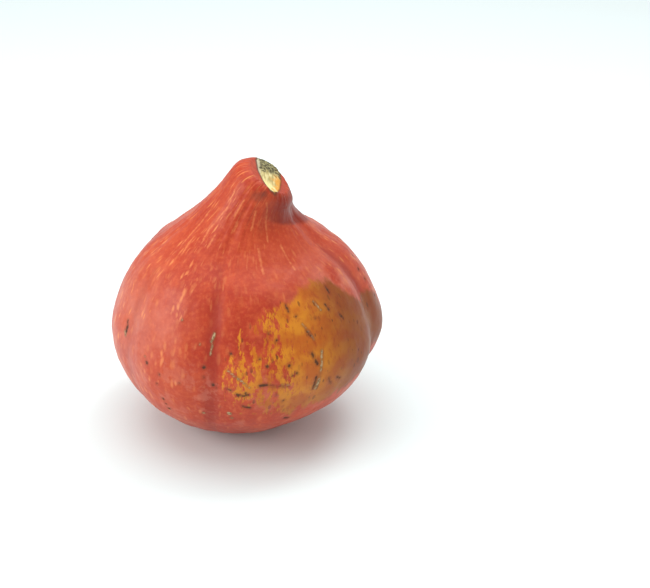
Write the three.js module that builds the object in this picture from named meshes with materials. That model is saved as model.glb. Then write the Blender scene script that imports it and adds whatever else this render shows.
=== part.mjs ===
// Red kuri squash: one grown fruit, round and squat, whose shoulders draw up into a leaning neck
// that ends in the slanting oval scar where the stalk was cut off.
// Millimetres, +Z up. The origin is on the table under the middle of the fruit, and -Y is its front.
import * as THREE from 'three';
import { ParametricGeometry } from 'three/addons/geometries/ParametricGeometry.js';
import { mergeVertices } from 'three/addons/utils/BufferGeometryUtils.js';

// Cross-sections of the fruit from the table up, each an ellipse. x and y are its middle, halfX and halfY
// its half-widths, and riseX and riseY how far it climbs for each millimetre towards +X and +Y.
const RINGS = [
  { height: 0, x: -5, y: 2, halfX: 22, halfY: 22, riseX: 0, riseY: 0 },
  { height: 4, x: -5.5, y: 2, halfX: 31, halfY: 31, riseX: 0, riseY: 0 },
  { height: 14, x: -6, y: 1.5, halfX: 48, halfY: 48, riseX: 0, riseY: 0 },
  { height: 34, x: -2.5, y: 0.5, halfX: 69, halfY: 69, riseX: 0, riseY: 0 },
  { height: 62, x: 0.5, y: 0, halfX: 80, halfY: 80, riseX: 0, riseY: 0 },
  { height: 88, x: 0.5, y: 0, halfX: 73.5, halfY: 73.5, riseX: 0, riseY: 0 },
  { height: 108, x: -0.5, y: -1, halfX: 61, halfY: 61, riseX: 0, riseY: 0 },
  { height: 122, x: -1.5, y: -2, halfX: 44, halfY: 44.5, riseX: 0, riseY: 0 },
  { height: 135, x: 0.7, y: -4.5, halfX: 29.8, halfY: 31.5, riseX: -0.05, riseY: 0 },
  { height: 147, x: 5, y: -8, halfX: 21.3, halfY: 24.5, riseX: -0.24, riseY: 0.02 },
  { height: 156.2, x: 9.8, y: -11.2, halfX: 16.2, halfY: 19.6, riseX: -0.58, riseY: 0.06 },
  { height: 160.2, x: 12.4, y: -12, halfX: 11.4, halfY: 16.2, riseX: -0.72, riseY: 0.1 },
  { height: 160.4, x: 13, y: -12, halfX: 8.8, halfY: 14.2, riseX: -0.74, riseY: 0.1 },
];
const RING_TURN = -4; // degrees that every ellipse is turned, seen from above, anticlockwise

// The furrows between the eight soft lobes. azimuth is in degrees from the front towards +X,
// depth is a share of the radius, and spread is the half-width in degrees.
const FURROWS = [
  { azimuth: -155, depth: 0.025, spread: 10 },
  { azimuth: -108, depth: 0.03, spread: 11 },
  { azimuth: -61, depth: 0.025, spread: 10 },
  { azimuth: -15, depth: 0.035, spread: 12 },
  { azimuth: 27, depth: 0.012, spread: 9 },
  { azimuth: 73, depth: 0.055, spread: 8 },
  { azimuth: 117, depth: 0.025, spread: 10 },
  { azimuth: 160, depth: 0.03, spread: 11 },
];
// Shares of the way from the resting spot to the scar where the furrows begin, are full, ease off and end.
const FURROW_REACH = { begin: 0.1, full: 0.32, ease: 0.62, end: 0.95 };

// The corky bed of the scar lies a little below its rim.
const SCAR_BED = { share: 0.84, edgeSink: 0.9, middleSink: 0.5 };

const SLICES = 56; // round the fruit
const STACKS_PER_RING = 3; // between two rings
const SKIN_STACKS = STACKS_PER_RING * (RINGS.length - 1);
const CAP_STACKS = 2; // from the middle of the resting spot, or of the scar, to its edge
const STACKS = SKIN_STACKS + 2 * CAP_STACKS;

const RIND_COLOUR = 0xc9502f;
const RIND_ROUGHNESS = 0.42;

const toVector = (pick) => RINGS.map((ring) => new THREE.Vector3(...pick(ring)));
const smoothCurve = (points) => new THREE.CatmullRomCurve3(points, false, 'catmullrom', 0.5);
const middles = smoothCurve(toVector((ring) => [ring.x, ring.y, ring.height]));
const halves = smoothCurve(toVector((ring) => [ring.halfX, ring.halfY, 0]));
const rises = smoothCurve(toVector((ring) => [ring.riseX, ring.riseY, 0]));

function furrowFade(share) {
  const { begin, full, ease, end } = FURROW_REACH;
  const fadeIn = THREE.MathUtils.smoothstep(share, begin, full);
  const fadeOut = 1 - THREE.MathUtils.smoothstep(share, ease, end);
  return fadeIn * fadeOut;
}

// How much of its radius the fruit keeps at an azimuth, between its furrows.
function lobeShare(azimuth, share) {
  let dip = 0;
  for (const furrow of FURROWS) {
    const away = THREE.MathUtils.euclideanModulo(azimuth - furrow.azimuth + 180, 360) - 180;
    dip += furrow.depth * Math.exp(-((away / furrow.spread) ** 2));
  }
  return 1 - dip * furrowFade(share);
}

// A point of the ring that lies a share of the way up the skin, scaled about the ring's middle.
function ringPoint(azimuth, share, scale, target) {
  const middle = middles.getPoint(share);
  const half = halves.getPoint(share).multiplyScalar(scale * lobeShare(azimuth, share));
  const rise = rises.getPoint(share);
  const turn = THREE.MathUtils.degToRad(RING_TURN);
  const angle = THREE.MathUtils.degToRad(azimuth - 90) - turn;
  const across = half.x * Math.cos(angle);
  const along = half.y * Math.sin(angle);
  const dx = across * Math.cos(turn) - along * Math.sin(turn);
  const dy = across * Math.sin(turn) + along * Math.cos(turn);
  target.set(middle.x + dx, middle.y + dy, middle.z + rise.x * dx + rise.y * dy);
}

// The bed of the scar, from its rim (inward 0) to its middle (inward 1).
function scarPoint(azimuth, inward, target) {
  const atMiddle = inward === 1;
  ringPoint(azimuth, 1, atMiddle ? 0 : SCAR_BED.share, target);
  target.z -= atMiddle ? SCAR_BED.middleSink : SCAR_BED.edgeSink;
}

// The whole surface: round the fruit with u, and with v from the middle of the flat resting spot,
// out to its edge, up the skin, over the rim and in to the middle of the scar.
function fruitPoint(u, v, target) {
  const azimuth = 360 * u;
  const stack = Math.round(v * STACKS);
  const climbed = stack - CAP_STACKS;
  if (climbed < 0) {
    ringPoint(azimuth, 0, stack / CAP_STACKS, target);
  } else if (climbed <= SKIN_STACKS) {
    ringPoint(azimuth, climbed / SKIN_STACKS, 1, target);
  } else {
    scarPoint(azimuth, (climbed - SKIN_STACKS) / CAP_STACKS, target);
  }
}

function makeFruit() {
  const surface = new ParametricGeometry(fruitPoint, SLICES, STACKS);
  surface.deleteAttribute('normal');
  surface.deleteAttribute('uv');
  const geometry = mergeVertices(surface);
  geometry.computeVertexNormals();
  const rind = new THREE.MeshStandardMaterial({ color: RIND_COLOUR, roughness: RIND_ROUGHNESS, metalness: 0 });
  const fruit = new THREE.Mesh(geometry, rind);
  fruit.name = 'squash';
  return fruit;
}

const group = new THREE.Group();
group.add(makeFruit());

export default group;
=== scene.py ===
import math

import bpy
import numpy as np
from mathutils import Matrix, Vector, noise


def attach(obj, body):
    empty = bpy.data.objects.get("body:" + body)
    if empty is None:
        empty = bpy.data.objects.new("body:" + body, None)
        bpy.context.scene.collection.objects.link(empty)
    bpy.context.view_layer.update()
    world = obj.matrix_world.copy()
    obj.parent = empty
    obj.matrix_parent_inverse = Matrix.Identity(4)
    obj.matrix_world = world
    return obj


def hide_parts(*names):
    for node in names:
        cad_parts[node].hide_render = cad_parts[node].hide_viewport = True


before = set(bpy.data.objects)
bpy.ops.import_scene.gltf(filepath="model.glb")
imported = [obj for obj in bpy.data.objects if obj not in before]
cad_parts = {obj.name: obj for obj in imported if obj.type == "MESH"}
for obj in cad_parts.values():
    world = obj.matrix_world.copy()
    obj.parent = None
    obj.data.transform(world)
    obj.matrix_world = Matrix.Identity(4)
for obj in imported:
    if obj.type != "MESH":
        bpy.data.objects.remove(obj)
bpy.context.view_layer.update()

MM = 0.001  # metres in a millimetre
SEED = 7

# ---------------------------------------------------------------- the fruit's sizes, in millimetres

# The cross-sections of the solid that this skin replaces, from the table up: height, the middle's x and y,
# the ellipse's half-widths along X and Y, and how far it climbs for each millimetre towards +X and +Y.
RINGS = np.array([
    (0, -5, 2, 22, 22, 0, 0),
    (4, -5.5, 2, 31, 31, 0, 0),
    (14, -6, 1.5, 48, 48, 0, 0),
    (34, -2.5, 0.5, 69, 69, 0, 0),
    (62, 0.5, 0, 80, 80, 0, 0),
    (88, 0.5, 0, 73.5, 73.5, 0, 0),
    (108, -0.5, -1, 61, 61, 0, 0),
    (122, -1.5, -2, 44, 44.5, 0, 0),
    (135, 0.7, -4.5, 29.8, 31.5, -0.05, 0),
    (147, 5, -8, 21.3, 24.5, -0.24, 0.02),
    (156.2, 9.8, -11.2, 16.2, 19.6, -0.58, 0.06),
    (160.2, 12.4, -12, 11.4, 16.2, -0.72, 0.1),
    (160.4, 13, -12, 8.8, 14.2, -0.74, 0.1),
])
RING_TURN = math.radians(-4)

# Furrows between the eight lobes: degrees from the front towards +X, depth as a share of the radius,
# and half-width in degrees.
FURROWS = [
    (-155, 0.025, 10), (-108, 0.03, 11), (-61, 0.025, 10), (-15, 0.035, 12),
    (27, 0.012, 9), (73, 0.055, 8), (117, 0.025, 10), (160, 0.03, 11),
]
FURROW_BEGIN, FURROW_FULL, FURROW_EASE, FURROW_END = 0.1, 0.32, 0.62, 0.95

COLUMNS = 420  # round the fruit
SKIN_ROWS = 190
CAP_ROWS = 22  # on the resting spot, and on the cut
FRONT_CROWDING = 18  # degrees by which columns shift towards the front, where they lie closest
TIP_CROWDING = 0.35  # how much closer the rows lie at the tip

# ---------------------------------------------------------------- small tools


def linear(colour):
    """An sRGB hex colour such as "#C9502F" as linear RGBA."""
    shares = [int(colour[i:i + 2], 16) / 255 for i in (1, 3, 5)]
    return tuple(c / 12.92 if c <= 0.04045 else ((c + 0.055) / 1.055) ** 2.4 for c in shares) + (1.0,)


def ease(value, low, high):
    """0 at low and 1 at high, smooth at both; low may be the larger."""
    t = np.clip((np.asarray(value, float) - low) / (high - low), 0, 1)
    return t * t * (3 - 2 * t)


def node(tree, kind, inputs=None, **settings):
    """Adds a node. inputs maps a socket's name or number to a value, or to the output that feeds it."""
    made = tree.nodes.new(kind)
    for name, value in settings.items():
        setattr(made, name, value)
    for socket, value in (inputs or {}).items():
        if isinstance(value, bpy.types.NodeSocket):
            tree.links.new(value, made.inputs[socket])
        else:
            made.inputs[socket].default_value = value
    return made


# ---------------------------------------------------------------- the skin as a grid of rows and columns


def along_rings(column, share):
    """A smooth curve through one column of RINGS, at a share of the way up the skin."""
    values = RINGS[:, column]
    last = len(values) - 1
    place = np.asarray(share, float) * last
    start = np.clip(np.floor(place).astype(int), 0, last - 1)
    t = place - start
    before = np.where(start == 0, 2 * values[0] - values[1], values[np.maximum(start - 1, 0)])
    here = values[start]
    there = values[start + 1]
    after = np.where(start == last - 1, 2 * values[-1] - values[-2], values[np.minimum(start + 2, last)])
    slope_here = (there - before) / 2
    slope_there = (after - here) / 2
    cubic = 2 * here - 2 * there + slope_here + slope_there
    square = 3 * there - 3 * here - 2 * slope_here - slope_there
    return cubic * t**3 + square * t**2 + slope_here * t + here


def skin_rows():
    """Each row's share of the way up, and its length up the skin from the resting spot, in millimetres."""
    fine = np.linspace(0, 1, 2001)
    radius = along_rings(3, fine)
    height = along_rings(0, fine)
    length = np.concatenate([[0], np.cumsum(np.hypot(np.diff(radius), np.diff(height)))])
    crowding = length + TIP_CROWDING * length[-1] * fine
    shares = np.interp(np.linspace(0, crowding[-1], SKIN_ROWS), crowding, fine)
    return shares, np.interp(shares, fine, length)


def ring_points(share, scale, azimuth):
    """Ring middles and points, in millimetres, for a column of rows and a row of azimuths."""
    height, x, y, half_x, half_y, rise_x, rise_y = (along_rings(k, share) for k in range(7))
    angle = np.radians(azimuth - 90) - RING_TURN
    across = half_x * scale * np.cos(angle)
    along = half_y * scale * np.sin(angle)
    dx = across * math.cos(RING_TURN) - along * math.sin(RING_TURN)
    dy = across * math.sin(RING_TURN) + along * math.cos(RING_TURN)
    points = np.stack([x + dx, y + dy, height + rise_x * dx + rise_y * dy], -1)
    middles = np.stack([x + 0 * dx, y + 0 * dx, height + 0 * dx], -1)
    return points, middles


turn_share = (np.arange(COLUMNS) + 0.5) / COLUMNS - 0.5
AZIMUTHS = 360 * turn_share - FRONT_CROWDING * np.sin(2 * math.pi * turn_share)
SKIN_SHARES, SKIN_LENGTHS = skin_rows()
cap_scales = np.linspace(0, 1, CAP_ROWS + 1)[1:]

# Every row has a share and a scale: the resting spot grows from its middle, the scar shrinks to its own.
ROW_SHARES = np.concatenate([np.zeros(CAP_ROWS - 1), SKIN_SHARES, np.ones(CAP_ROWS - 1)])
ROW_SCALES = np.concatenate([cap_scales[:-1], np.ones(SKIN_ROWS), cap_scales[:-1][::-1]])
ROWS = len(ROW_SHARES)
IS_REST_ROW = np.arange(ROWS) < CAP_ROWS - 1
GRAIN_RADIUS = 76.0  # the radius that the grain's width is measured at

# The cut's outline, seen from above: millimetres towards +X and +Y from the middle of the highest ring.
TIP_MIDDLE = RINGS[-1, [1, 2]]
CUT_OUTLINE = [
    (-7.4, 8), (-6.4, -3), (-3.7, -11), (-1.8, -14.3), (0.4, -16), (2.6, -15.6), (4.2, -13.4), (6, -8), (6.9, 3.5),
    (6.8, 12), (5.8, 17), (1, 17), (-4, 15.5), (-6.8, 12),
]
TIP_SHARE = 0.86  # above this share the skin can be part of the cut


def with_poles(rows, first, last):
    """Values for every vertex: the lower pole, the rows in order, then the upper pole."""
    flat = np.asarray(rows, float).reshape(ROWS * COLUMNS, -1)
    return np.concatenate([np.atleast_2d(first), flat, np.atleast_2d(last)])


def outline_distance(x, y, outline):
    """Distance in millimetres to a closed outline, above 0 inside it."""
    nearest = np.full(len(x), 1e3)
    inside = np.zeros(len(x), bool)
    for (x0, y0), (x1, y1) in zip(outline, outline[1:] + outline[:1]):
        step_x, step_y = x1 - x0, y1 - y0
        t = np.clip(((x - x0) * step_x + (y - y0) * step_y) / (step_x**2 + step_y**2), 0, 1)
        nearest = np.minimum(nearest, np.hypot(x - x0 - t * step_x, y - y0 - t * step_y))
        if step_y:
            inside ^= ((y0 > y) != (y1 > y)) & (x < x0 + (y - y0) * step_x / step_y)
    return np.where(inside, nearest, -nearest)


def cut_sink(across, along, edge):
    """How far the cut lies below the skin, in millimetres: a shallow dish with torn fibre in its far half."""
    pits = np.zeros(len(edge))
    ribs = np.zeros(len(edge))
    for i in np.flatnonzero(edge > 0):
        pits[i] = noise.noise(Vector((across[i] * 0.55, along[i] * 0.45, 3.1)))
        ribs[i] = noise.noise(Vector((across[i] * 1.5, along[i] * 0.2, 8.4)))
    torn = ease(along + 0.5 * across, -2, 4) * ease(edge, 0.5, 2)
    return ease(edge, 0, 0.8) * (0.3 + 0.2 * ribs + torn * (0.8 * pits - 1.0))


def make_skin_mesh():
    share = ROW_SHARES[:, None]
    points, middles = ring_points(share, ROW_SCALES[:, None], AZIMUTHS[None])
    low_points, low_middles = ring_points(0.0, 0.0, AZIMUTHS[:1])
    top_points, top_middles = ring_points(1.0, 0.0, AZIMUTHS[:1])
    shape = (ROWS, COLUMNS)
    azimuth = np.broadcast_to(AZIMUTHS, shape)
    angle = np.radians(azimuth)
    climb = np.interp(ROW_SHARES, SKIN_SHARES, SKIN_LENGTHS) - RINGS[0, 3] * IS_REST_ROW * (1 - ROW_SCALES)
    grain = np.stack([GRAIN_RADIUS * np.sin(angle), -GRAIN_RADIUS * np.cos(angle),
                      np.broadcast_to(climb[:, None], shape)], -1)
    free = ease(ROW_SHARES, 0.04, 0.14) * ease(ROW_SHARES, 0.985, 0.93)

    places = with_poles(points, low_points[0], top_points[0])
    count = len(places)
    shares = with_poles(np.broadcast_to(share, shape), 0, 1)[:, 0]
    across, along = (places[:, :2] - TIP_MIDDLE).T
    cut_edge = np.where(shares > TIP_SHARE, outline_distance(across, along, CUT_OUTLINE), -30.0)
    places[:, 2] -= cut_sink(across, along, cut_edge)

    index = 1 + np.arange(ROWS * COLUMNS).reshape(shape)
    right = np.roll(index, -1, axis=1)
    quads = np.stack([index[:-1], right[:-1], right[1:], index[1:]], -1).reshape(-1, 4)
    lower = np.stack([np.zeros(COLUMNS, int), right[0], index[0]], -1)
    upper = np.stack([index[-1], right[-1], np.full(COLUMNS, count - 1)], -1)
    mesh = bpy.data.meshes.new("squash_skin")
    mesh.from_pydata((places * MM).tolist(), [], lower.tolist() + quads.tolist() + upper.tolist())

    columns = {
        "azimuth": with_poles(azimuth, 0, 0)[:, 0],
        "share": shares,
        "free": with_poles(np.broadcast_to(free[:, None], shape), 0, 0)[:, 0],
        "cut_edge": cut_edge,
        "cut_place": np.stack([across, along, 0 * along], -1),
        "ring_middle": with_poles(middles, low_middles[0], top_middles[0]) * MM,
        "grain": with_poles(grain, (0, 0, -RINGS[0, 3]), (0, 0, SKIN_LENGTHS[-1])),
    }
    for name, values in columns.items():
        save_attribute(mesh, name, values)
    wrap_uv(mesh, columns["azimuth"], np.linspace(0, 1, ROWS + 2))
    return mesh


def save_attribute(mesh, name, values):
    is_vector = np.ndim(values) == 2
    attribute = mesh.attributes.new(name, "FLOAT_VECTOR" if is_vector else "FLOAT", "POINT")
    attribute.data.foreach_set("vector" if is_vector else "value", np.asarray(values, np.float32).ravel())


def wrap_uv(mesh, azimuth, row_heights):
    """A UV map that is unrolled round the fruit, with its seam at the back."""
    corners = np.zeros(len(mesh.loops), int)
    mesh.loops.foreach_get("vertex_index", corners)
    row = np.zeros(len(azimuth), int)
    row[1:-1] = 1 + np.repeat(np.arange(ROWS), COLUMNS)
    row[-1] = ROWS + 1
    u = azimuth[corners] / 360 + 0.5
    starts = np.zeros(len(mesh.polygons), int)
    totals = np.zeros(len(mesh.polygons), int)
    mesh.polygons.foreach_get("loop_start", starts)
    mesh.polygons.foreach_get("loop_total", totals)
    face = np.repeat(np.arange(len(starts)), totals)
    is_pole = (corners == 0) | (corners == len(azimuth) - 1)
    largest = np.full(len(starts), -1.0)
    smallest = np.full(len(starts), 2.0)
    np.maximum.at(largest, face[~is_pole], u[~is_pole])
    np.minimum.at(smallest, face[~is_pole], u[~is_pole])
    crosses = (largest - smallest > 0.5)[face]
    u = np.where(crosses & (u < 0.5) & ~is_pole, u + 1, u)
    u = np.where(is_pole, ((largest + smallest) / 2)[face], u)
    uv = np.stack([u, row_heights[row[corners]]], -1)
    mesh.uv_layers.new(name="unrolled").data.foreach_set("uv", uv.ravel())


# ---------------------------------------------------------------- lobes and relief, as a node tree


def make_growth_tree():
    """Presses the furrows between the lobes in towards each ring's middle, then ripples the skin."""
    tree = bpy.data.node_groups.new("lobes_and_ripples", "GeometryNodeTree")
    sizes = {
        "Furrow strength": 1.0,
        "Swell height": 0.9 * MM, "Swell width": 30 * MM,
        "Ripple height": 0.36 * MM, "Ripple width": 8 * MM,
        "Pebble height": 0.11 * MM, "Pebble width": 2.6 * MM,
        "Rib height": 0.38 * MM, "Rib width": 9.0,
        "Seed": float(SEED),
    }
    tree.interface.new_socket(name="Geometry", in_out="INPUT", socket_type="NodeSocketGeometry")
    tree.interface.new_socket(name="Geometry", in_out="OUTPUT", socket_type="NodeSocketGeometry")
    for name in sizes:
        tree.interface.new_socket(name=name, in_out="INPUT", socket_type="NodeSocketFloat")
    for name in ("Rind", "Cork"):
        tree.interface.new_socket(name=name, in_out="INPUT", socket_type="NodeSocketMaterial")
    given = node(tree, "NodeGroupInput").outputs

    def math_node(operation, *values):
        return node(tree, "ShaderNodeMath", dict(enumerate(values)), operation=operation).outputs[0]

    named = {}
    for name, kind in (("azimuth", "FLOAT"), ("share", "FLOAT"), ("free", "FLOAT"), ("cut_edge", "FLOAT"),
                       ("ring_middle", "FLOAT_VECTOR"), ("grain", "FLOAT_VECTOR")):
        reader = node(tree, "GeometryNodeInputNamedAttribute", {"Name": name}, data_type=kind)
        named[name] = reader.outputs["Attribute"]

    dip = None
    for azimuth, depth, spread in FURROWS:
        away = math_node("SUBTRACT", named["azimuth"], azimuth - 180.0)
        away = math_node("SUBTRACT", math_node("FLOORED_MODULO", away, 360.0), 180.0)
        steep = math_node("POWER", math_node("ABSOLUTE", math_node("DIVIDE", away, float(spread))), 2.0)
        hollow = math_node("MULTIPLY", math_node("EXPONENT", math_node("MULTIPLY", steep, -1.0)), depth)
        dip = hollow if dip is None else math_node("ADD", dip, hollow)
    fades = []
    for low, high in ((FURROW_BEGIN, FURROW_FULL), (FURROW_END, FURROW_EASE)):
        fade = node(tree, "ShaderNodeMapRange",
                    {"Value": named["share"], "From Min": min(low, high), "From Max": max(low, high),
                     "To Min": float(low > high), "To Max": float(low < high)},
                    interpolation_type="SMOOTHSTEP")
        fades.append(fade.outputs["Result"])
    fade = math_node("MULTIPLY", math_node("MULTIPLY", *fades), given["Furrow strength"])
    press = math_node("MULTIPLY", math_node("MULTIPLY", dip, fade), -1.0)
    position = node(tree, "GeometryNodeInputPosition").outputs[0]
    outward = node(tree, "ShaderNodeVectorMath", {0: position, 1: named["ring_middle"]}, operation="SUBTRACT")
    inward = node(tree, "ShaderNodeVectorMath", {0: outward.outputs[0], "Scale": press}, operation="SCALE")
    lobed = node(tree, "GeometryNodeSetPosition", {"Geometry": given["Geometry"], "Offset": inward.outputs[0]})
    kept = node(tree, "GeometryNodeStoreNamedAttribute",
                {"Geometry": lobed.outputs[0], "Name": "furrow", "Value": math_node("MULTIPLY", dip, fade)},
                data_type="FLOAT", domain="POINT")

    relief = None
    for k, name in enumerate(("Swell", "Ripple", "Pebble")):
        frequency = math_node("DIVIDE", 1.0, given[name + " width"])
        waves = node(tree, "ShaderNodeTexNoise",
                     {"Vector": position, "W": math_node("ADD", given["Seed"], 11.0 * k),
                      "Scale": frequency, "Detail": 1.0},
                     noise_dimensions="4D")
        height = math_node("MULTIPLY", math_node("SUBTRACT", waves.outputs[0], 0.5), given[name + " height"])
        relief = height if relief is None else math_node("ADD", relief, height)
    stretched = node(tree, "ShaderNodeVectorMath", {0: named["grain"], 1: (1.0, 1.0, 0.12)}, operation="MULTIPLY")
    ribs = node(tree, "ShaderNodeTexNoise",
                {"Vector": stretched.outputs[0], "Scale": math_node("DIVIDE", 1.0, given["Rib width"]), "Detail": 1.0})
    height = math_node("MULTIPLY", math_node("SUBTRACT", ribs.outputs[0], 0.5), given["Rib height"])
    relief = math_node("MULTIPLY", math_node("MULTIPLY", math_node("ADD", relief, height), 2.0), named["free"])
    normal = node(tree, "GeometryNodeInputNormal").outputs[0]
    bulge = node(tree, "ShaderNodeVectorMath", {0: normal, "Scale": relief}, operation="SCALE")
    rippled = node(tree, "GeometryNodeSetPosition", {"Geometry": kept.outputs[0], "Offset": bulge.outputs[0]})

    whole = node(tree, "GeometryNodeRealizeInstances", {"Geometry": rippled.outputs[0]})
    in_rind = node(tree, "GeometryNodeSetMaterial", {"Geometry": whole.outputs[0], "Material": given["Rind"]})
    is_cut = math_node("GREATER_THAN", named["cut_edge"], 0.0)
    in_cork = node(tree, "GeometryNodeSetMaterial",
                   {"Geometry": in_rind.outputs[0], "Selection": is_cut, "Material": given["Cork"]})
    node(tree, "NodeGroupOutput", {"Geometry": in_cork.outputs[0]})
    return tree, sizes


def grow(holder, tree, values):
    """Runs a node tree on an object with these inputs, and returns the result as a plain mesh."""
    modifier = holder.modifiers.new("grow", "NODES")
    modifier.node_group = tree
    for socket in tree.interface.items_tree:
        if socket.in_out == "INPUT" and socket.name in values:
            modifier[socket.identifier] = values[socket.name]
    bpy.context.view_layer.update()
    evaluated = holder.evaluated_get(bpy.context.evaluated_depsgraph_get())
    mesh = bpy.data.meshes.new_from_object(evaluated)
    holder.modifiers.remove(modifier)
    return mesh


# ---------------------------------------------------------------- blemishes

# Each stroke lists its points as (degrees from the front towards +X, millimetres above the table),
# then its half-width and how far it stands out of the skin, both in millimetres.
DARK_STROKES = [
    ([(-65, 80), (-64.4, 76)], 0.5, -0.3), ([(-64.4, 77), (-63.8, 74)], 1.0, -0.35),
    ([(46.5, 107), (46, 104)], 0.4, -0.2),
    ([(5, 64), (8, 64.5)], 0.6, -0.2), ([(9, 64), (16.5, 62)], 0.3, -0.2),
    ([(27, 90), (28.5, 87)], 0.4, -0.2),
    ([(28.7, 64), (28.6, 56)], 0.45, -0.2),
    ([(40.5, 100), (41.5, 97)], 0.4, -0.2), ([(46, 93), (47.5, 90)], 0.5, -0.2),
    ([(20, 104), (20.4, 101)], 0.4, -0.2),
    ([(27.5, 78), (28.2, 76)], 0.6, -0.3), ([(28.9, 73.5), (29.5, 71.5)], 0.7, -0.3),
    ([(39, 60), (41, 58)], 0.5, -0.2), ([(35, 61), (36, 57)], 0.35, -0.2),
    ([(-1, 49), (2, 48)], 0.7, -0.25), ([(20, 35), (22.5, 34)], 0.9, -0.3),
    ([(-4, 58), (-1, 57), (1, 58)], 0.5, -0.2), ([(-8, 61), (-6, 60)], 0.4, -0.15),
]
DARK_DOTS = [
    (-45, 66, 1.0), (-38, 62, 0.6), (-38, 44, 0.8), (-36, 36, 0.9), (-37, 40, 0.5), (-18, 72, 0.9), (-18, 66, 0.5),
    (-14, 62, 0.8), (-7, 81, 0.8), (-3, 57, 0.7), (0, 59, 0.6), (8, 75, 0.8), (17, 74, 0.9), (20, 69, 0.7),
    (18, 68, 0.5), (13, 88, 0.5), (10, 92, 0.4), (24, 98, 0.4), (52, 70, 0.5), (-39, 55, 0.5), (-28, 60, 0.4),
    (33, 95, 0.4), (56, 84, 0.5), (5, 79, 0.4), (12, 57, 0.5), (16, 52, 0.5),
]
PALE_STROKES = [
    ([(-14.4, 90.5), (-14.9, 87.5)], 0.7, 0.3), ([(-15.2, 88), (-15.6, 86)], 0.5, 0.2),
    ([(-15.4, 84.5), (-15.9, 79)], 0.35, 0.25),
    ([(-8, 72), (-3.4, 67.6)], 0.45, 0.2), ([(-3.4, 67.6), (1, 63)], 0.3, 0.2),
    ([(14, 63.8), (17, 62.8)], 0.3, 0.15),
    ([(32.4, 78), (30.9, 68)], 0.55, 0.25), ([(31, 69), (30.2, 60)], 0.35, 0.25), ([(30.3, 61), (29.9, 56)], 0.9, 0.3),
    ([(25.5, 93.5), (27.4, 90)], 0.3, 0.2), ([(27.4, 90), (29.5, 85)], 0.45, 0.2),
    ([(-64.5, 73.5), (-64, 72)], 0.9, 0.1),
    ([(35, 103), (37, 98)], 0.3, 0.1),
]
PALE_DOTS = [(-6, 42, 1.3), (-5, 38, 0.9), (-18, 39, 0.9), (-46, 69, 0.4), (-21, 84, 0.5), (-30, 95, 0.5)]
# Long pale streaks down the neck, flush with the skin.
STREAKS = [
    ([(-46, 157), (-40, 147), (-42, 141), (-43, 135), (-41, 130)], 0.35),
    ([(-24, 153), (-24, 144)], 0.4), ([(-17, 141), (-15, 136)], 0.35), ([(1, 147), (3, 137)], 0.3),
    ([(9, 152), (17, 147), (20, 139), (22, 131)], 0.25), ([(49, 152), (57, 135)], 0.25),
    ([(-62, 140), (-60, 131), (-58, 124)], 0.35), ([(-52, 128), (-50, 121)], 0.4),
    ([(-33, 133), (-32, 127)], 0.35), ([(12, 128), (13, 118)], 0.4), ([(33, 128), (34, 117)], 0.35),
    ([(80, 150), (84, 136)], 0.35), ([(108, 148), (106, 132)], 0.35), ([(135, 150), (138, 130)], 0.35),
    ([(165, 152), (160, 128)], 0.35), ([(-168, 150), (-165, 130)], 0.35), ([(-140, 152), (-136, 128)], 0.35),
    ([(-112, 148), (-110, 128)], 0.35), ([(-88, 150), (-86, 132)], 0.35),
]
# Brownish rubs on the skin just below the cut.
SMUDGES = [([(-12, 155.5), (-3, 156.8)], 1.4, 0.0)]
# The outline of the ochre ground spot, where the fruit lay on the soil.
GROUND_SPOT = [
    (-4, 86), (2, 95), (8, 101), (13, 103), (19, 105), (24, 106), (31, 110), (40, 112), (50, 110), (55, 104),
    (61, 96), (68, 90), (78, 92), (88, 84), (90, 70), (84, 58), (70, 52), (57, 50), (47, 46), (36, 42), (21, 40),
    (9, 43), (0, 47), (-7, 54), (-9, 64), (-8, 74),
]
MM_PER_DEGREE = 1.35  # round the skin at the widest part
# Pale haze on the shoulders, partly the rind's waxy bloom and partly painted sheen: azimuth, height, the reach of
# each, and strength.
BLOOM_AND_SHEEN = [(52, 101, 26, 15, 0.42), (-60, 86, 26, 26, 0.26)]


def hidden_blemishes(rng):
    """Pits and small corky scabs for the sides and back, which no listed mark covers."""
    dark, pale = [], []
    for _ in range(46):
        azimuth = rng.uniform(82, 290)
        dark.append((azimuth - 360 * (azimuth > 180), rng.uniform(26, 118), rng.uniform(0.35, 0.9)))
    for _ in range(9):
        azimuth = rng.uniform(95, 275)
        height = rng.uniform(45, 110)
        lean = rng.uniform(-4, 4)
        start = azimuth - 360 * (azimuth > 180)
        pale.append(([(start, height), (start + lean, height - rng.uniform(4, 12))], rng.uniform(0.4, 0.9), 0.22))
    return dark, pale


def point_on_skin(grid, azimuth, height):
    """The place on the skin at an azimuth and a height, from the grid's nearest column."""
    away = np.abs((AZIMUTHS - azimuth + 180) % 360 - 180)
    column = grid[CAP_ROWS - 1:CAP_ROWS - 1 + SKIN_ROWS, int(np.argmin(away))]
    rising = column[:int(np.argmax(column[:, 2])) + 1]
    return np.array([np.interp(height, rising[:, 2], rising[:, k]) for k in range(3)])


def distance_to_stroke(places, corners):
    """Distance in millimetres from each place to a chain of straight pieces."""
    nearest = np.full(len(places), 1e3)
    for start, end in zip(corners[:-1], corners[1:]):
        step = end - start
        t = np.clip((places - start) @ step / max(step @ step, 1e-9), 0, 1)
        nearest = np.minimum(nearest, np.linalg.norm(places - start - t[:, None] * step, axis=1))
    return nearest


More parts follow.
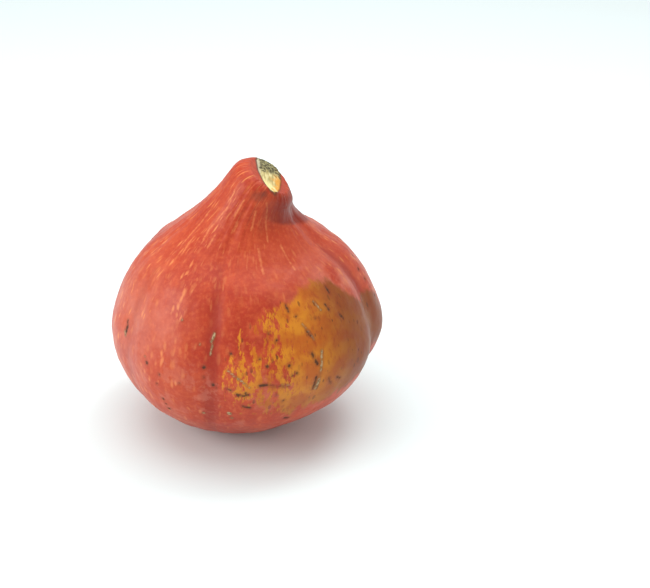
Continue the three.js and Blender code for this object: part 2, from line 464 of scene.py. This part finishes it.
def edge_distance(places, grid, strokes):
    """Distance to the nearest stroke's edge, below 0 inside it, and the relief that the strokes give."""
    nearest = np.full(len(places), 40.0)
    relief = np.zeros(len(places))
    for points, half_width, height in strokes:
        corners = [point_on_skin(grid, *point) for point in points]
        if len(corners) == 1:
            corners = corners * 2
        edge = distance_to_stroke(places, corners) - half_width
        nearest = np.minimum(nearest, edge)
        relief += 0.7 * height * ease(edge, 1.1, -0.6)
    return nearest, relief


def mark_skin(mesh):
    """Presses the pits and raises the scabs, and keeps each kind of mark's distance for the rind's colours."""
    count = len(mesh.vertices)
    places = np.zeros(count * 3)
    mesh.vertices.foreach_get("co", places)
    places = places.reshape(-1, 3) / MM
    normals = np.zeros(count * 3)
    mesh.vertices.foreach_get("normal", normals)
    normals = normals.reshape(-1, 3)
    grid = places[1:-1].reshape(ROWS, COLUMNS, 3)
    hidden_dots, hidden_scabs = hidden_blemishes(np.random.default_rng(SEED))
    dots = [([(a, h)], radius, -0.3) for a, h, radius in DARK_DOTS + hidden_dots]
    corky_dots = [([(a, h)], radius, 0.25) for a, h, radius in PALE_DOTS]
    flush = [(points, half_width, 0.0) for points, half_width in STREAKS]
    dark, pits = edge_distance(places, grid, DARK_STROKES + dots)
    pale, scabs = edge_distance(places, grid, PALE_STROKES + corky_dots + hidden_scabs)
    streak, _ = edge_distance(places, grid, flush)
    smudge, _ = edge_distance(places, grid, SMUDGES)
    azimuth = np.zeros(count)
    mesh.attributes["azimuth"].data.foreach_get("value", azimuth)
    spot_outline = [(a * MM_PER_DEGREE, height) for a, height in GROUND_SPOT]
    spot = outline_distance(azimuth * MM_PER_DEGREE, places[:, 2], spot_outline)
    # Blotchy towards the left and the bottom, crisp along the top.
    spot_blur = 3 + 11 * ease(azimuth, 24, -4) + 7 * ease(places[:, 2], 72, 48)

    # Where the shoulders get their pale haze: partly waxy bloom, partly painted sheen.
    bloom_and_sheen = np.zeros(count)
    for middle, height, reach, rise, strength in BLOOM_AND_SHEEN:
        bloom_and_sheen += strength * np.exp(-(((azimuth - middle) / reach) ** 2) - ((places[:, 2] - height) / rise) ** 2)
    # Where the furrows get painted shade in the rind's colour, and are also pressed in as a slight crease.
    crease_and_shade = np.zeros(count)
    for furrow, depth, _ in FURROWS:
        away = (azimuth - furrow + 180) % 360 - 180
        crease_and_shade = np.maximum(crease_and_shade, min(1, (depth / 0.04) ** 2) * np.exp(-((away / 4) ** 2)))
    share = np.zeros(count)
    mesh.attributes["share"].data.foreach_get("value", share)
    crease_and_shade *= ease(share, 0.12, 0.26) * ease(share, 0.66, 0.44)

    blossom = np.linalg.norm(places[:, :2] - RINGS[0, 1:3], axis=1) + 60 * ease(places[:, 2], 0.5, 3)
    dimple = 1.6 * ease(blossom, 9, 6) - 0.7 * ease(blossom, 4, 1.5)
    moved = places + normals * (pits + scabs - 0.5 * crease_and_shade)[:, None]
    moved[:, 2] += dimple
    mesh.vertices.foreach_set("co", (moved * MM).ravel())
    for name, values in (("dark_edge", dark), ("pale_edge", pale), ("streak_edge", streak),
                         ("smudge_edge", smudge), ("spot_edge", spot), ("spot_blur", spot_blur),
                         ("bloom_and_sheen", bloom_and_sheen), ("crease_and_shade", crease_and_shade), ("blossom", blossom)):
        save_attribute(mesh, name, values)
    mesh.update()


# ---------------------------------------------------------------- materials

MIX_FACTOR, MIX_A, MIX_B, MIX_RESULT = 0, 6, 7, 2  # a colour Mix node's sockets


def start_material(name):
    material = bpy.data.materials.new(name)
    material.use_nodes = True
    tree = material.node_tree
    tree.nodes.clear()
    shader = node(tree, "ShaderNodeBsdfPrincipled")
    node(tree, "ShaderNodeOutputMaterial", {"Surface": shader.outputs[0]})
    return material, tree, shader


def make_rind():
    """Waxy rind of a ripe red kuri, grown not moulded: satin, with pale flecks that follow its meridians."""
    material, tree, shader = start_material("waxy_squash_rind")

    def attribute(name):
        reader = node(tree, "ShaderNodeAttribute", attribute_name=name)
        return reader.outputs["Vector" if name in ("grain", "cut_place") else "Fac"]

    def calculate(operation, *values):
        return node(tree, "ShaderNodeMath", dict(enumerate(values)), operation=operation).outputs[0]

    def step(value, low, high):
        """0 below low and 1 above high, smooth between; low may be the larger."""
        return node(tree, "ShaderNodeMapRange",
                    {"Value": value, "From Min": min(low, high), "From Max": max(low, high),
                     "To Min": float(low > high), "To Max": float(low < high)},
                    interpolation_type="SMOOTHSTEP").outputs["Result"]

    def clouds(width, detail=2.0, vector=None, roughness=0.5):
        """Noise whose blobs are about this many millimetres wide on the skin."""
        scale = 1 / (width * MM) if vector is None else 1 / width
        return node(tree, "ShaderNodeTexNoise",
                    {"Vector": place if vector is None else vector, "Scale": scale, "Detail": detail,
                     "Roughness": roughness}).outputs[0]

    def blend(factor, below, above):
        return node(tree, "ShaderNodeMix", {MIX_FACTOR: factor, MIX_A: below, MIX_B: above},
                    data_type="RGBA").outputs[MIX_RESULT]

    place = node(tree, "ShaderNodeTexCoord").outputs["Object"]
    grain = attribute("grain")
    share = attribute("share")
    high_up = step(share, 0.45, 0.72)

    # Ground colour: orange-red, blotched a few centimetres across; further down, painted shade deepens it along the
    # furrows.
    colour = blend(step(clouds(38), 0.35, 0.65), linear("#A73017"), linear("#B23C1D"))
    colour = blend(calculate("MULTIPLY", step(clouds(9, 3.0), 0.45, 0.75), 0.55), colour, linear("#C24D26"))
    colour = blend(calculate("MULTIPLY", step(clouds(2.2, 3.0), 0.4, 0.8), 0.35), colour, linear("#D36336"))

    # Pale haze on the shoulders, cloudy: partly waxy bloom, partly painted sheen.
    bloom_and_sheen = calculate("MULTIPLY", attribute("bloom_and_sheen"), step(clouds(14, 4.0, None, 0.6), 0.25, 0.6))
    colour = blend(bloom_and_sheen, colour, linear("#DC9884"))

    # Flecks: dashes 1 to 2 mm wide and 3 to 6 mm long on the shoulders, drawn out to threads up the neck.
    def flecks(cell, stretch):
        space = node(tree, "ShaderNodeMapping", {"Vector": grain, "Scale": (1.0, 1.0, stretch)}).outputs[0]
        wander = node(tree, "ShaderNodeTexNoise", {"Vector": space, "Scale": 1 / 4, "Detail": 2.0})
        bent = node(tree, "ShaderNodeVectorMath", {0: wander.outputs["Color"], "Scale": 3.4}, operation="SCALE")
        moved = node(tree, "ShaderNodeVectorMath", {0: space, 1: bent.outputs[0]}, operation="ADD").outputs[0]
        cells = node(tree, "ShaderNodeTexVoronoi", {"Vector": moved, "Scale": 1 / cell})
        size, vigour, _ = node(tree, "ShaderNodeSeparateColor", {"Color": cells.outputs["Color"]}).outputs
        reach = calculate("MULTIPLY_ADD", size, 0.55, -0.12)
        dash = step(calculate("SUBTRACT", reach, cells.outputs["Distance"]), -0.2, 0.2)
        return calculate("MULTIPLY", dash, calculate("MULTIPLY_ADD", vigour, 0.85, 0.15))

    lower = calculate("MULTIPLY", flecks(2.9, 0.42), step(share, 0.1, 0.24))
    upper = calculate("MULTIPLY", flecks(4.4, 0.5),
                      calculate("MULTIPLY", step(share, 0.38, 0.5), step(share, 0.64, 0.53)))
    dash = calculate("MULTIPLY", calculate("MAXIMUM", lower, upper), step(clouds(13), 0.2, 0.5))
    sparse = step(calculate("ABSOLUTE", calculate("ADD", attribute("azimuth"), -22.0)), 24, 58)
    dash = calculate("MULTIPLY", dash, calculate("MULTIPLY_ADD", sparse, 0.5, 0.3))
    colour = blend(dash, colour, linear("#E0884E"))
    # Painted shade: the furrows darkened to a deep red along their lines.
    crease_and_shade = calculate("MULTIPLY_ADD", clouds(7, 2.0), 0.4, calculate("ADD", attribute("crease_and_shade"), -0.2))
    colour = blend(calculate("MULTIPLY", step(crease_and_shade, 0.05, 0.8), 0.65), colour, linear("#8E200E"))
    thread_space = node(tree, "ShaderNodeMapping", {"Vector": grain, "Scale": (1.0, 1.0, 0.07)}).outputs[0]
    thread = step(clouds(3.4, 1.0, thread_space), 0.62, 0.8)
    thread = calculate("MULTIPLY", calculate("MULTIPLY", thread, high_up), 0.16)
    colour = blend(thread, colour, linear("#E8804A"))
    ragged = calculate("MULTIPLY_ADD", clouds(1.6, 2.0), 1.6, calculate("ADD", attribute("streak_edge"), -0.8))
    colour = blend(calculate("MULTIPLY", step(ragged, 0.7, -0.5), 0.62), colour, linear("#DC804C"))

    # Painted shade: deeper red on the neck's side turned away from the light, down to where it meets the shoulder.
    painted_neck_shade = step(calculate("MULTIPLY_ADD", attribute("azimuth"), 0.00137, share), 0.742, 0.764)
    painted_neck_shade = calculate("MULTIPLY", painted_neck_shade, step(attribute("azimuth"), -5, 48))
    painted_neck_shade = calculate("MULTIPLY", painted_neck_shade, step(attribute("azimuth"), 140, 100))
    painted_neck_shade = calculate("MULTIPLY", painted_neck_shade, step(share, 0.95, 0.87))
    colour = blend(calculate("MULTIPLY", painted_neck_shade, 0.8), colour, linear("#7A1C08"))

    # Scurf: rough pinkish patches low on the fruit.
    scurf = calculate("MULTIPLY", step(clouds(16, 5.0, None, 0.7), 0.5, 0.62), step(share, 0.45, 0.3))
    colour = blend(calculate("MULTIPLY", scurf, 0.3), colour, linear("#C87A64"))

    # Ground spot: ochre with red showing through in blotches, more of it towards its left and its foot.
    blur = attribute("spot_blur")
    streaky = node(tree, "ShaderNodeMapping", {"Vector": grain, "Scale": (1.0, 1.0, 0.45)}).outputs[0]
    broken = calculate("MULTIPLY", calculate("SUBTRACT", clouds(5, 5.0, streaky, 0.7), 0.5), 3.0)
    edge = calculate("MULTIPLY_ADD", broken, blur, attribute("spot_edge"))
    solid = calculate("MULTIPLY", step(attribute("azimuth"), 6, 34), step(share, 0.15, 0.24))
    gaps = calculate("MULTIPLY_ADD", solid, 0.24, clouds(3.4, 4.0, streaky, 0.7))
    spot = calculate("MULTIPLY", step(edge, -1.4, 2.6), step(gaps, 0.47, 0.56))
    ochre_and_painted_shade = blend(step(clouds(12, 3.0), 0.35, 0.65), linear("#BC6010"), linear("#D2841A"))
    ochre_and_painted_shade = blend(calculate("MULTIPLY", step(clouds(2.6, 4.0, streaky, 0.65), 0.5, 0.72), 0.6), ochre_and_painted_shade,
                  linear("#A23C12"))
    # Painted shade: the ground spot darkened towards its right side, away from the light; next, it is also made darker
    # towards its foot.
    ochre_and_painted_shade = blend(calculate("MULTIPLY", step(attribute("azimuth"), 22, 54), 0.8), ochre_and_painted_shade, linear("#6C2C04"))
    ochre_and_painted_shade = blend(calculate("MULTIPLY", step(share, 0.36, 0.2), 0.75), ochre_and_painted_shade, linear("#7A3A08"))
    colour = blend(calculate("MULTIPLY", spot, 0.93), colour, ochre_and_painted_shade)
    peppered = node(tree, "ShaderNodeTexVoronoi", {"Vector": streaky, "Scale": 1 / 2.3})
    size, vigour, _ = node(tree, "ShaderNodeSeparateColor", {"Color": peppered.outputs["Color"]}).outputs
    reach = calculate("MULTIPLY_ADD", size, 0.62, -0.2)
    speck = step(calculate("SUBTRACT", reach, peppered.outputs["Distance"]), -0.03, 0.09)
    speck = calculate("MULTIPLY", speck, calculate("MULTIPLY", vigour, step(edge, -6.0, 2.0)))
    speck = calculate("MULTIPLY", speck, step(clouds(11, 3.0), 0.3, 0.55))
    colour = blend(calculate("MULTIPLY", speck, 0.8), colour, linear("#4E2A10"))

    # Healed scratches are dull straw-grey cork; insect pits and scabs are near-black brown.
    smudge = calculate("MULTIPLY_ADD", clouds(4, 3.0), 5.0, calculate("ADD", attribute("smudge_edge"), -2.5))
    colour = blend(calculate("MULTIPLY", step(smudge, 3.0, -2.0), 0.55), colour, linear("#5E3428"))
    fray = calculate("MULTIPLY", calculate("SUBTRACT", clouds(2.0, 3.0), 0.5), 1.5)
    halo = step(calculate("ADD", attribute("pale_edge"), fray), 1.3, 0.2)
    colour = blend(calculate("MULTIPLY", halo, 0.35), colour, linear("#6A3A1E"))
    pale = step(calculate("ADD", attribute("pale_edge"), fray), 0.4, -0.35)
    straw = blend(step(clouds(1.8, 2.0), 0.4, 0.6), linear("#7E6A48"), linear("#B49E78"))
    colour = blend(calculate("MULTIPLY", pale, 0.88), colour, straw)
    stain = step(calculate("ADD", attribute("dark_edge"), fray), 1.8, 0.2)
    colour = blend(calculate("MULTIPLY", stain, 0.4), colour, linear("#7A3018"))
    dark = step(calculate("ADD", attribute("dark_edge"), fray), 0.6, -0.4)
    colour = blend(calculate("MULTIPLY", dark, 0.85), colour, linear("#35281C"))
    cut_across = node(tree, "ShaderNodeSeparateXYZ", {"Vector": attribute("cut_place")}).outputs[0]
    lip = calculate("MULTIPLY", step(attribute("cut_edge"), -1.2, -0.1), step(cut_across, 7.5, 3.0))
    lip = calculate("MULTIPLY", lip, 0.75)
    colour = blend(lip, colour, linear("#5E3420"))
    corky = step(attribute("blossom"), 7.5, 5.5)
    colour = blend(corky, colour, linear("#A98B62"))
    tree.links.new(colour, shader.inputs["Base Color"])

    # Satin wax, duller where the skin is corked over.
    dull = calculate("MAXIMUM", calculate("MAXIMUM", pale, dark), corky)
    sheenless = calculate("MULTIPLY_ADD", clouds(6, 3.0), 0.14, 0.33)
    tree.links.new(calculate("MULTIPLY_ADD", dull, 0.35, sheenless), shader.inputs["Roughness"])
    shader.inputs["IOR"].default_value = 1.36

    grit = calculate("MULTIPLY_ADD", clouds(0.9, 2.0), 0.35, calculate("MULTIPLY", clouds(2.4, 3.0), 0.65))
    bump = node(tree, "ShaderNodeBump", {"Height": grit, "Strength": 0.35, "Distance": 0.25 * MM})
    tree.links.new(bump.outputs[0], shader.inputs["Normal"])
    return material


def make_cork():
    """Cut stalk end: dry corky fibre, cream where it is fresh and green-black where it has rotted."""
    material, tree, shader = start_material("dried_stalk_cork")

    def calculate(operation, *values):
        return node(tree, "ShaderNodeMath", dict(enumerate(values)), operation=operation).outputs[0]

    def step(value, low, high):
        """0 below low and 1 above high, smooth between; low may be the larger."""
        return node(tree, "ShaderNodeMapRange",
                    {"Value": value, "From Min": min(low, high), "From Max": max(low, high),
                     "To Min": float(low > high), "To Max": float(low < high)},
                    interpolation_type="SMOOTHSTEP").outputs["Result"]

    def blend(factor, below, above):
        return node(tree, "ShaderNodeMix", {MIX_FACTOR: factor, MIX_A: below, MIX_B: above},
                    data_type="RGBA").outputs[MIX_RESULT]

    place = node(tree, "ShaderNodeAttribute", attribute_name="cut_place").outputs["Vector"]
    across, along, _ = node(tree, "ShaderNodeSeparateXYZ", {"Vector": place}).outputs
    edge = node(tree, "ShaderNodeAttribute", attribute_name="cut_edge").outputs["Fac"]
    blotch = node(tree, "ShaderNodeTexNoise", {"Vector": place, "Scale": 1 / 3.4, "Detail": 3.0}).outputs[0]
    fine = node(tree, "ShaderNodeTexNoise", {"Vector": place, "Scale": 1 / 1.3, "Detail": 2.0}).outputs[0]
    fibre_space = node(tree, "ShaderNodeMapping", {"Vector": place, "Scale": (1.0, 0.16, 1.0)}).outputs[0]
    fibres = node(tree, "ShaderNodeTexNoise", {"Vector": fibre_space, "Scale": 1 / 1.2, "Detail": 2.0}).outputs[0]
    wander = calculate("MULTIPLY", calculate("SUBTRACT", blotch, 0.5), 16.0)

    colour = blend(step(fibres, 0.38, 0.62), linear("#DED096"), linear("#AE9C62"))
    colour = blend(step(along, -5.0, -12.0), colour, linear("#EADD9C"))
    colour = blend(step(calculate("ADD", across, wander), 1.0, 5.5), colour, linear("#DFA044"))
    rotten = step(calculate("ADD", calculate("MULTIPLY_ADD", across, -0.3, along), wander), 0.5, 5.0)
    grime = blend(step(fine, 0.46, 0.6), linear("#2E2A1A"), linear("#A09A6C"))
    colour = blend(calculate("MULTIPLY", rotten, 0.92), colour, grime)
    colour = blend(step(calculate("MULTIPLY_ADD", wander, 0.25, across), -4.6, -6.2), colour, linear("#BDB597"))
    rim = step(calculate("MULTIPLY_ADD", fine, 0.6, edge), 0.9, 0.4)
    bare = calculate("MULTIPLY", step(across, 5.0, 3.0), 0.85)
    colour = blend(calculate("MULTIPLY", rim, bare), colour, linear("#4A3522"))
    colour = blend(calculate("MULTIPLY", step(edge, 1.2, 0.1), step(across, 3.5, 5.5)), colour, linear("#7A3C16"))
    tree.links.new(colour, shader.inputs["Base Color"])
    shader.inputs["Roughness"].default_value = 0.78
    shader.inputs["IOR"].default_value = 1.4
    bump = node(tree, "ShaderNodeBump", {"Height": fine, "Strength": 0.6, "Distance": 0.4 * MM})
    tree.links.new(bump.outputs[0], shader.inputs["Normal"])
    return material


# ---------------------------------------------------------------- camera, floor and light

CAMERA_TILT = math.radians(27)  # how far the camera looks down
CAMERA_REACH = 0.9  # metres to the fruit's widest level
LENS_MM = 84
AIM = Vector((0, 0, 0.064))
FRAMING_SHIFT = (0.1215, 0.04)  # the fruit stands left of and below the middle of the picture


def make_camera():
    camera = bpy.data.objects.new("camera", bpy.data.cameras.new("camera"))
    camera.data.lens = LENS_MM
    camera.data.sensor_width = 36
    camera.data.shift_x, camera.data.shift_y = FRAMING_SHIFT
    camera.location = AIM + CAMERA_REACH * Vector((0, -math.cos(CAMERA_TILT), math.sin(CAMERA_TILT)))
    camera.rotation_euler = (math.pi / 2 - CAMERA_TILT, 0, 0)
    bpy.context.scene.collection.objects.link(camera)
    bpy.context.scene.camera = camera


def make_floor():
    half = 3.0
    mesh = bpy.data.meshes.new("studio_floor")
    mesh.from_pydata([(-half, -half, 0), (half, -half, 0), (half, half, 0), (-half, half, 0)], [], [(0, 1, 2, 3)])
    floor = bpy.data.objects.new("studio_floor", mesh)
    material, _, shader = start_material("matt_white_paper")
    shader.inputs["Base Color"].default_value = linear("#EAF5F5")
    shader.inputs["Roughness"].default_value = 0.9
    shader.inputs["Specular IOR Level"].default_value = 0.1
    mesh.materials.append(material)
    bpy.context.scene.collection.objects.link(floor)


def add_area_light(name, place, aim, size, power, colour="#FFFFFF"):
    light = bpy.data.lights.new(name, "AREA")
    light.shape = "DISK"
    light.size = size
    light.energy = power
    light.color = linear(colour)[:3]
    lamp = bpy.data.objects.new(name, light)
    lamp.location = place
    lamp.rotation_euler = (Vector(aim) - Vector(place)).to_track_quat("-Z", "Y").to_euler()
    bpy.context.scene.collection.objects.link(lamp)


def make_light():
    world = bpy.data.worlds.new("white_studio")
    world.use_nodes = True
    background = world.node_tree.nodes["Background"]
    background.inputs["Color"].default_value = linear("#FFFFFF")
    background.inputs["Strength"].default_value = 0.66
    bpy.context.scene.world = world
    add_area_light("overhead_softbox", (-0.05, 0.03, 1.25), (0, 0, 0.05), 1.5, 9)
    add_area_light("left_softbox", (-1.2, -0.4, 0.6), (0, 0, 0.08), 1.0, 10)
    add_area_light("right_top_softbox", (0.5, 0.35, 1.2), (0.03, 0, 0.1), 0.6, 4)
    bpy.context.scene.view_settings.view_transform = "Standard"


# ---------------------------------------------------------------- putting it together


def make_squash():
    holder = bpy.data.objects.new("squash_blank", make_skin_mesh())
    bpy.context.scene.collection.objects.link(holder)
    tree, sizes = make_growth_tree()
    mesh = grow(holder, tree, {**sizes, "Rind": make_rind(), "Cork": make_cork()})
    bpy.data.objects.remove(holder)
    mark_skin(mesh)
    mesh.polygons.foreach_set("use_smooth", [True] * len(mesh.polygons))
    squash = bpy.data.objects.new("squash_skin", mesh)
    bpy.context.scene.collection.objects.link(squash)
    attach(squash, "root")
    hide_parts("squash")
    return squash


make_camera()
make_floor()
make_light()
make_squash()
